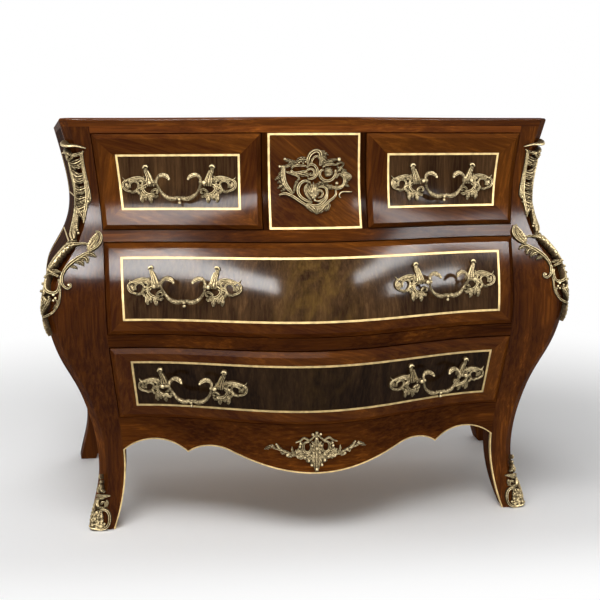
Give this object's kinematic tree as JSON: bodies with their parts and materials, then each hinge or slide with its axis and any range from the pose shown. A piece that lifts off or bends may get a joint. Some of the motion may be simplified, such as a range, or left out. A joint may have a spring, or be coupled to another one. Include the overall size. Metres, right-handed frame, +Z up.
{
  "type": "bombe chest",
  "caption": "Bombe chest of drawers with bowed, swelling front and sides, canted corners, scalloped apron, gilt mounts and swinging bail handles.",
  "frame": {"origin": "on the floor, under the middle of the chest's overall width and depth", "axes": "+X to the chest's right as seen from the front, +Y to the back, +Z up; the drawers open towards -Y"},
  "size_m": [1.172, 0.5677, 0.8],
  "materials": {
    "case_veneer": "gloss lacquered reddish-brown veneer",
    "front_veneer": "gloss lacquered figured veneer",
    "inner_wood": "plain sanded wood",
    "gilt_brass": "antiqued gilt",
    "string_brass": "polished brass"
  },
  "bodies": {
    "carcass": {"top_board": "case_veneer", "top_rail": "case_veneer", "upper_rail": "case_veneer", "middle_rail": "case_veneer", "front_apron": "case_veneer", "front_left_post": "case_veneer", "front_right_post": "case_veneer", "rear_left_post": "case_veneer", "rear_right_post": "case_veneer", "left_side_panel": "case_veneer", "right_side_panel": "case_veneer", "back_panel": "inner_wood", "bottom_board": "inner_wood", "upper_dust_board": "inner_wood", "lower_dust_board": "inner_wood", "center_panel": "front_veneer", "center_panel_stringing": "string_brass", "drawer_partitions": "inner_wood", "drawer_runners": "inner_wood", "drawer_stops": "inner_wood", "apron_brass_edge": "string_brass", "shoulder_mounts": "gilt_brass", "upper_corner_mounts": "gilt_brass", "foot_mounts": "gilt_brass", "apron_mount": "gilt_brass", "center_panel_mount": "gilt_brass"},
    "upper_left_drawer": {"upper_left_drawer_front": "front_veneer", "upper_left_drawer_sides": "inner_wood", "upper_left_drawer_back": "inner_wood", "upper_left_drawer_bottom": "inner_wood", "upper_left_drawer_stringing": "string_brass", "upper_left_drawer_handle_plates": "gilt_brass"},
    "upper_right_drawer": {"upper_right_drawer_front": "front_veneer", "upper_right_drawer_sides": "inner_wood", "upper_right_drawer_back": "inner_wood", "upper_right_drawer_bottom": "inner_wood", "upper_right_drawer_stringing": "string_brass", "upper_right_drawer_handle_plates": "gilt_brass"},
    "middle_drawer": {"middle_drawer_front": "front_veneer", "middle_drawer_sides": "inner_wood", "middle_drawer_back": "inner_wood", "middle_drawer_bottom": "inner_wood", "middle_drawer_stringing": "string_brass", "middle_drawer_handle_plates": "gilt_brass"},
    "lower_drawer": {"lower_drawer_front": "front_veneer", "lower_drawer_sides": "inner_wood", "lower_drawer_back": "inner_wood", "lower_drawer_bottom": "inner_wood", "lower_drawer_stringing": "string_brass", "lower_drawer_handle_plates": "gilt_brass"},
    "upper_right_bail": {"upper_right_bail": "gilt_brass"},
    "upper_left_bail": {"upper_left_bail": "gilt_brass"},
    "middle_right_bail": {"middle_right_bail": "gilt_brass"},
    "middle_left_bail": {"middle_left_bail": "gilt_brass"},
    "lower_right_bail": {"lower_right_bail": "gilt_brass"},
    "lower_left_bail": {"lower_left_bail": "gilt_brass"}
  },
  "joints": [
    {"name": "upper_left_drawer_slide", "type": "slide", "parent": "carcass", "child": "upper_left_drawer", "axis": [0, -1, 0], "range_m": [0, 0.33]},
    {"name": "upper_right_drawer_slide", "type": "slide", "parent": "carcass", "child": "upper_right_drawer", "axis": [0, -1, 0], "range_m": [0, 0.33]},
    {"name": "middle_drawer_slide", "type": "slide", "parent": "carcass", "child": "middle_drawer", "axis": [0, -1, 0], "range_m": [0, 0.33]},
    {"name": "lower_drawer_slide", "type": "slide", "parent": "carcass", "child": "lower_drawer", "axis": [0, -1, 0], "range_m": [0, 0.33]},
    {"name": "upper_right_bail_swing", "type": "hinge", "parent": "upper_right_drawer", "child": "upper_right_bail", "pos_m": [0.25572, -0.18575, 0.681], "axis": [-0.9844, -0.176, 0], "range_deg": [0, 85]},
    {"name": "upper_left_bail_swing", "type": "hinge", "parent": "upper_left_drawer", "child": "upper_left_bail", "pos_m": [-0.25572, -0.18575, 0.681], "axis": [-0.9844, 0.176, 0], "range_deg": [0, 85]},
    {"name": "middle_right_bail_swing", "type": "hinge", "parent": "middle_drawer", "child": "middle_right_bail", "pos_m": [0.25174, -0.2404, 0.496], "axis": [-0.971, -0.2391, 0], "range_deg": [0, 85]},
    {"name": "middle_left_bail_swing", "type": "hinge", "parent": "middle_drawer", "child": "middle_left_bail", "pos_m": [-0.25174, -0.2404, 0.496], "axis": [-0.971, 0.2391, 0], "range_deg": [0, 85]},
    {"name": "lower_right_bail_swing", "type": "hinge", "parent": "lower_drawer", "child": "lower_right_bail", "pos_m": [0.2439, -0.23444, 0.305], "axis": [-0.9513, -0.3082, 0], "range_deg": [0, 85]},
    {"name": "lower_left_bail_swing", "type": "hinge", "parent": "lower_drawer", "child": "lower_left_bail", "pos_m": [-0.2439, -0.23444, 0.305], "axis": [-0.9513, 0.3082, 0], "range_deg": [0, 85]}
  ]
}
